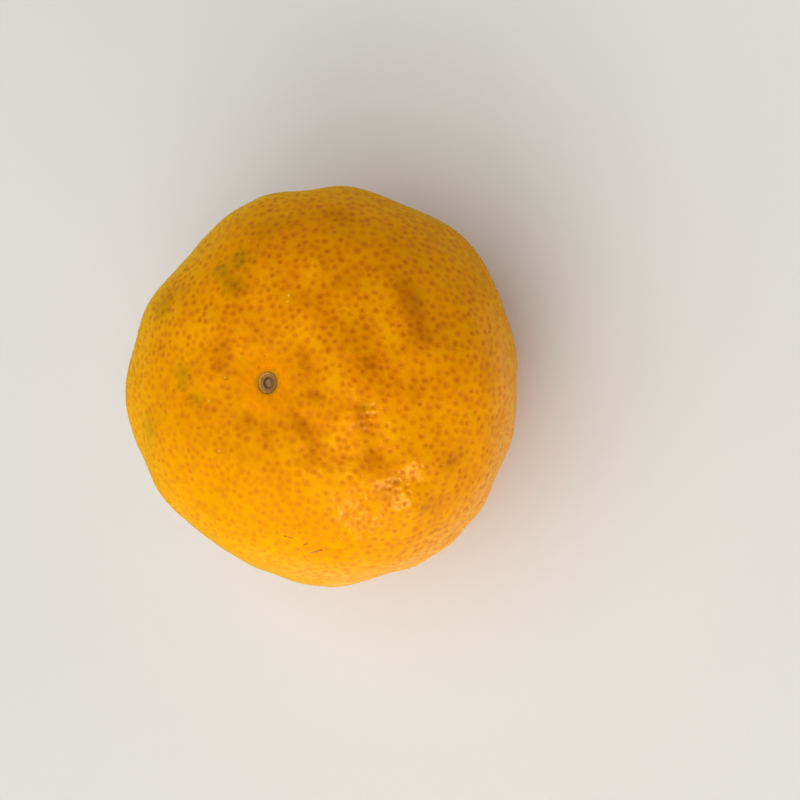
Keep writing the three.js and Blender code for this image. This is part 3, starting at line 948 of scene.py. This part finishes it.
def scar_mesh(cork):
    points, shares, grooves, faces = [], [], [], []
    rows = len(SCAR_PROFILE) - 1
    for spoke in range(SCAR_SPOKES):
        turn = 2 * math.pi * spoke / SCAR_SPOKES
        oval = ripple(turn, SCAR_WAVES) - HOLE_OVAL * math.cos(2 * turn)
        cracks = SCAR_CRACKS * math.sin(11 * turn) * math.sin(5 * turn + 0.4)
        uneven = SCAR_TILT * math.sin(2 * turn + 1.1) + cracks
        lean = 1 - GROOVE_LEAN + GROOVE_LEAN * math.cos(turn - math.radians(GROOVE_SIDE))
        for share, drop in SCAR_PROFILE[1:]:
            radius = SCAR_RADIUS * share * (1 + oval * share)
            aside = BOSS_SHIFT * (1 - share ** 2)
            groove = lean * float(bell(share - GROOVE_PLACE, GROOVE_WIDTH))
            level = SCAR_RIM + drop - GROOVE_DEPTH * groove + share * uneven
            points.append((radius * math.cos(turn) + aside, radius * math.sin(turn), level))
            shares.append(share)
            grooves.append(groove)
    top, bottom = len(points), len(points) + 1
    points += [(BOSS_SHIFT, 0, SCAR_RIM + SCAR_PROFILE[0][1]), (0, 0, SCAR_BOTTOM)]
    shares += [0, 1]
    grooves += [0, 0]
    for spoke in range(SCAR_SPOKES):
        here, there = spoke * rows, ((spoke + 1) % SCAR_SPOKES) * rows
        faces.append((top, here, there))
        for row in range(rows - 1):
            faces.append((here + row, here + row + 1, there + row + 1, there + row))
        faces.append((here + rows - 1, bottom, there + rows - 1))
    mesh = make_mesh("scar_button", points, faces, cork)
    store_attribute(mesh, "ring_share", "POINT", shares)
    store_attribute(mesh, "groove", "POINT", grooves)
    return mesh


# share of the radius, and colour
SCAR_COLOURS = [
    (0.0, (0.08, 0.04, 0.01)),
    (0.08, (0.36, 0.23, 0.09)),
    (0.24, (0.3, 0.17, 0.06)),
    (0.4, (0.27, 0.12, 0.035)),
    (0.55, (0.32, 0.14, 0.035)),
    (0.68, (0.46, 0.21, 0.05)),
    (0.78, (0.3, 0.12, 0.025)),
    (0.9, (0.74, 0.36, 0.08)),
    (0.96, (0.62, 0.24, 0.03)),
    (1.0, (0.34, 0.14, 0.005)),
]
CORK_FLECK_COLOUR = (0.6, 0.36, 0.15)
GROOVE_SHADE_COLOUR = (0.07, 0.025, 0.008)
DIRT_COLOUR = (0.12, 0.05, 0.012)
SHADED_COLOUR = (0.14, 0.06, 0.015)
SCAR_EDGE = (0.35, 3.0, 0.2, 0.8)
CORK_FLECKS = (0.14, 3.0, 0.35, 0.7)
DIRT = (0.35, 3.0, 0.5, 0.7)
SHADED_FADE = (-0.6, 1.2, 0.4)
SCAR_FRAY = 0.1
CORK_FLECK_SHARE = 0.35
GROOVE_SHADE_SHARE = 0.9
DIRT_SHARE = 0.5
CORK_RINGS = 40.0
RING_RELIEF = 0.01
CORK_FLECK_RELIEF = 0.04


def scar_material():
    material, tree, shader, place = new_material("scar_cork")
    share = fray(tree, attribute(tree, "ring_share"), mottle(tree, place, *SCAR_EDGE), SCAR_FRAY)
    ramp = add_node(tree, "ShaderNodeValToRGB", {0: share})
    elements = ramp.color_ramp.elements
    elements[0].position, elements[0].color = SCAR_COLOURS[0][0], (*SCAR_COLOURS[0][1], 1)
    elements[1].position, elements[1].color = SCAR_COLOURS[-1][0], (*SCAR_COLOURS[-1][1], 1)
    for position, colour in SCAR_COLOURS[1:-1]:
        elements.new(position).color = (*colour, 1)
    flecks = mottle(tree, place, *CORK_FLECKS)
    colour = tint(tree, ramp.outputs[0], flecks, CORK_FLECK_SHARE, CORK_FLECK_COLOUR)
    # painted shade in the groove, darkest on the side it leans to
    colour = tint(tree, colour, attribute(tree, "groove"), GROOVE_SHADE_SHARE, GROOVE_SHADE_COLOUR)
    colour = tint(tree, colour, mottle(tree, place, *DIRT), DIRT_SHARE, DIRT_COLOUR)
    aside = toward(tree, place, (GROOVE_SIDE + 180, 0))
    colour = mix_colours(tree, fade(tree, aside, *SHADED_FADE), colour, SHADED_COLOUR)
    tree.links.new(colour, shader.inputs["Base Color"])
    shader.inputs["Roughness"].default_value = 0.72
    shader.inputs["Specular IOR Level"].default_value = 0.2
    rings = calculate(tree, "SINE", calculate(tree, "MULTIPLY", share, CORK_RINGS))
    heights = (flecks, CORK_FLECK_RELIEF), (rings, RING_RELIEF)
    add_relief(tree, shader, add_shares(tree, 0.0, *heights))
    return material


scar_button = add_object("scar_button", scar_mesh(scar_material()))
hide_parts("style_scar")
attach(scar_button, "root")


# The calyx: the flower's five dry lobes in a star, with the stub of stem left where the fruit
# was clipped, grown as one. It lies in the stem basin, against the rind, and looks down.
SEAT_TOP = 21.65
SEAT_CURVE = 9.0
CALYX_GAP = 0.08
CALYX_LOBES = 5
CALYX_VALLEY = 2.7
CALYX_TIP = 4.3
CALYX_MIDDLE = 0.9
CALYX_EDGE = 0.3
LOBE_POINT = 1.3
LOBE_THINNING = 1.8
RIB_HEIGHT = 0.07
RIB_NARROWNESS = 6
CURL = 0.12
CURL_START = 0.8
INNER_CURL = 0.6
STEM_RADIUS = 1.45
STEM_FOOT = 1.95
STEM_LENGTH = 2.0
PITH_DEPTH = 0.13
PITH_RADIUS = 0.5
WOOD_RING = 1.05
WOOD_RING_WIDTH = 0.12
WOOD_RING_DEPTH = 0.05
# count, phase and height of the waves in its edges, and what they are times
CALYX_WAVES = [(5, 0.9, 0.3), (13, 0.3, 0.4), (23, 1.9, 0.3)]
LOBE_WOBBLE = 0.09
BARK_WOBBLE = 0.06
CALYX_SPOKES = 200
CALYX_RINGS = 44
RING_CROWDING = 0.9


def calyx_mesh(dry_green):
    outer, inner = [], []
    for spoke in range(CALYX_SPOKES):
        turn = 2 * math.pi * spoke / CALYX_SPOKES
        to_tip = abs((turn * CALYX_LOBES / math.pi) % 2 - 1)
        lobe = (CALYX_TIP - CALYX_VALLEY) * to_tip ** LOBE_POINT
        reach = CALYX_VALLEY + lobe + LOBE_WOBBLE * ripple(turn, CALYX_WAVES)
        bark = STEM_RADIUS + BARK_WOBBLE * ripple(turn, CALYX_WAVES)
        for ring in range(1, CALYX_RINGS + 1):
            share = ring / CALYX_RINGS
            radius = reach * share ** RING_CROWDING
            top = -SEAT_TOP - SEAT_CURVE + math.sqrt(SEAT_CURVE ** 2 - radius ** 2) - CALYX_GAP
            star = CALYX_EDGE + (CALYX_MIDDLE - CALYX_EDGE) * (1 - share ** LOBE_THINNING)
            star += RIB_HEIGHT * to_tip ** RIB_NARROWNESS * math.sin(math.pi * share)
            rise = float(smooth_step(STEM_FOOT - radius, 0, STEM_FOOT - bark))
            pith = PITH_DEPTH * float(bell(radius, PITH_RADIUS, FIRM_EDGE))
            pith += WOOD_RING_DEPTH * float(bell(radius - WOOD_RING, WOOD_RING_WIDTH))
            depth = star + (STEM_LENGTH - star - pith) * rise
            curl = CURL * float(smooth_step(share, CURL_START, 1)) * (0.5 + 0.5 * math.sin(3 * turn + 1))
            x, y = radius * math.cos(turn), radius * math.sin(turn)
            inner.append((x, y, top - curl * INNER_CURL))
            outer.append((x, y, top - depth - curl))
    count = len(inner)
    top = -SEAT_TOP - CALYX_GAP
    points = inner + outer + [(0, 0, top), (0, 0, top - STEM_LENGTH + PITH_DEPTH)]
    faces = []
    for spoke in range(CALYX_SPOKES):
        here, there = spoke * CALYX_RINGS, ((spoke + 1) % CALYX_SPOKES) * CALYX_RINGS
        faces.append((2 * count, here, there))
        faces.append((2 * count + 1, count + there, count + here))
        for ring in range(CALYX_RINGS - 1):
            a, b, c, d = here + ring, here + ring + 1, there + ring + 1, there + ring
            faces += [(a, b, c, d), (count + d, count + c, count + b, count + a)]
        edge, next_edge = here + CALYX_RINGS - 1, there + CALYX_RINGS - 1
        faces.append((edge, count + edge, count + next_edge, next_edge))
    return make_mesh("calyx_star", points, faces, dry_green)


LOBE_GREEN = (0.12, 0.14, 0.035)
LOBE_BROWN = (0.24, 0.19, 0.07)
LOBE_FLECK_COLOUR = (0.34, 0.27, 0.13)
TIP_COLOUR = (0.11, 0.06, 0.025)
PITH_COLOUR = (0.16, 0.1, 0.05)
WOOD_COLOUR = (0.5, 0.42, 0.26)
BARK_COLOUR = (0.22, 0.2, 0.08)
WOOD_FLECK_COLOUR = (0.3, 0.2, 0.11)
LOBE_BLOTCHES = (1.1, 4.0, 0.35, 0.65)
LOBE_FLECKS = (0.22, 3.0, 0.35, 0.65)
TIP_FADE = (3.2, 4.8, 0.75)
TIP_FRAY = 0.8
CUT_EDGE = (1.5, 1.35)
CUT_HEIGHT = (-23.3, -23.5)
PITH_EDGE = (0.35, 0.6)
BARK_EDGE = (1.0, 1.3)
LOBE_FLECK_SHARE = 0.45
WOOD_FLECK_SHARE = 0.5
BLOTCH_RELIEF = 0.06
LOBE_FLECK_RELIEF = 0.05


def calyx_material():
    material, tree, shader, place = new_material("calyx_dry_green")
    out, height = from_axis(tree, place)
    blotches = mottle(tree, place, *LOBE_BLOTCHES)
    flecks = mottle(tree, place, *LOBE_FLECKS)
    colour = mix_colours(tree, blotches, LOBE_GREEN, LOBE_BROWN)
    colour = tint(tree, colour, flecks, LOBE_FLECK_SHARE, LOBE_FLECK_COLOUR)
    tips = fade(tree, add_shares(tree, out, (blotches, TIP_FRAY)), *TIP_FADE)
    colour = mix_colours(tree, tips, colour, TIP_COLOUR)
    wood = mix_colours(tree, fade(tree, out, *PITH_EDGE), PITH_COLOUR, WOOD_COLOUR)
    wood = mix_colours(tree, fade(tree, out, *BARK_EDGE), wood, BARK_COLOUR)
    wood = tint(tree, wood, flecks, WOOD_FLECK_SHARE, WOOD_FLECK_COLOUR)
    colour = tint(tree, colour, fade(tree, out, *CUT_EDGE), fade(tree, height, *CUT_HEIGHT), wood)
    tree.links.new(colour, shader.inputs["Base Color"])
    shader.inputs["Roughness"].default_value = 0.7
    heights = (blotches, BLOTCH_RELIEF), (flecks, LOBE_FLECK_RELIEF)
    add_relief(tree, shader, add_shares(tree, 0.0, *heights))
    return material


calyx_star = add_object("calyx_star", calyx_mesh(calyx_material()))
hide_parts("calyx")
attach(calyx_star, "root")


# The table and the light: a plain pale matt floor, in a room that is dark overhead. Three soft
# lights fill, from high at the lower left of the picture round to low at the lower right. A low
# window there and a patch of sky give only highlights, which break up on the glands.
FLOOR_COLOUR = (0.77, 0.755, 0.715)
FLOOR_WIDTH = 6.0
FLOOR_ROUGHNESS = 0.6
# painted reflection: the floor as the skin mirrors it, warmer than it is, and brighter beside the fruit on
# one side as painted light
GLOSS_COLOUR = (0.72, 0.57, 0.04)
BRIGHT_GLOSS_COLOUR = (0.95, 0.75, 0.3)
BRIGHT_SIDE = (318, 0)
# in metres from the middle of the floor
BRIGHT_FROM = (0.01, 0.035)
BRIGHT_TO = (0.065, 0.04)
ROOM_COLOUR = (1.0, 0.98, 0.945)
ROOM_LOW = 0.52
ROOM_OVERHEAD = 0.12
ROOM_FADE = (0.1, 0.75)
COOL_LIGHT = (0.97, 0.985, 1.0)
WARM_LIGHT = (1.0, 0.96, 0.9)
YELLOW_LIGHT = (1.0, 0.85, 0.2)
# azimuth and elevation, distance and size in metres, power in watts, and colour
FILL_LIGHTS = [
    ("soft_light", (240, 72), 2.0, (3.7, 3.7), 55.6, COOL_LIGHT),
    ("side_light", (262, 33), 1.8, (1.08, 1.08), 7.1, COOL_LIGHT),
    ("low_light", (300, 10), 1.4, (0.63, 0.385), 5.2, WARM_LIGHT),
]
HIGHLIGHTS = [
    ("window", (301, 23), 0.8, (0.34, 0.25), 3.6, WARM_LIGHT),
    ("sky_glint", (268, 64), 1.0, (0.2, 0.2), 2.0, YELLOW_LIGHT),
]


def make_floor():
    half = FLOOR_WIDTH / 2
    mesh = bpy.data.meshes.new("table_top")
    corners = [(-half, -half, 0), (half, -half, 0), (half, half, 0), (-half, half, 0)]
    mesh.from_pydata(corners, [], [(0, 1, 2, 3)])
    material = bpy.data.materials.new("pale_table")
    material.use_nodes = True
    tree = material.node_tree
    shader = tree.nodes["Principled BSDF"]
    mirrored = tree.nodes.new("ShaderNodeLightPath").outputs["Is Glossy Ray"]
    place = tree.nodes.new("ShaderNodeTexCoord").outputs["Object"]
    aside = toward(tree, place, BRIGHT_SIDE)
    bright = calculate(tree, "MULTIPLY", fade(tree, aside, *BRIGHT_FROM), fade(tree, aside, *BRIGHT_TO))
    gloss = mix_colours(tree, bright, GLOSS_COLOUR, BRIGHT_GLOSS_COLOUR)
    tree.links.new(mix_colours(tree, mirrored, FLOOR_COLOUR, gloss), shader.inputs["Base Color"])
    shader.inputs["Roughness"].default_value = FLOOR_ROUGHNESS
    mesh.materials.append(material)
    add_object("table_top", mesh)


def make_light(name, side, distance, size, power, colour, shines, fills):
    """An area light that faces the fruit. One that doesn't shine gives no highlight, and one that
    doesn't fill gives nothing else."""
    data = bpy.data.lights.new(name, "AREA")
    data.shape = "RECTANGLE"
    data.size, data.size_y = size
    data.energy = power
    data.color = colour
    light = add_object(name, data)
    way = Vector(direction(*side))
    light.location = Vector(STAR) * MM + way * distance
    light.rotation_euler = way.to_track_quat("Z", "Y").to_euler()
    light.visible_glossy = shines
    light.visible_diffuse = fills


def make_room():
    world = bpy.data.worlds.new("room")
    world.use_nodes = True
    tree = world.node_tree
    way = tree.nodes.new("ShaderNodeTexCoord").outputs["Generated"]
    height = add_node(tree, "ShaderNodeSeparateXYZ", {0: way}).outputs[2]
    background = tree.nodes["Background"]
    background.inputs["Color"].default_value = (*ROOM_COLOUR, 1)
    strength = fade(tree, height, *ROOM_FADE, ROOM_OVERHEAD, ROOM_LOW)
    tree.links.new(strength, background.inputs["Strength"])
    bpy.context.scene.world = world
    world.cycles_visibility.glossy = False


make_floor()
make_room()
for fill_light in FILL_LIGHTS:
    make_light(*fill_light, shines=False, fills=True)
for highlight in HIGHLIGHTS:
    make_light(*highlight, shines=True, fills=False)
bpy.context.scene.view_settings.view_transform = "Standard"
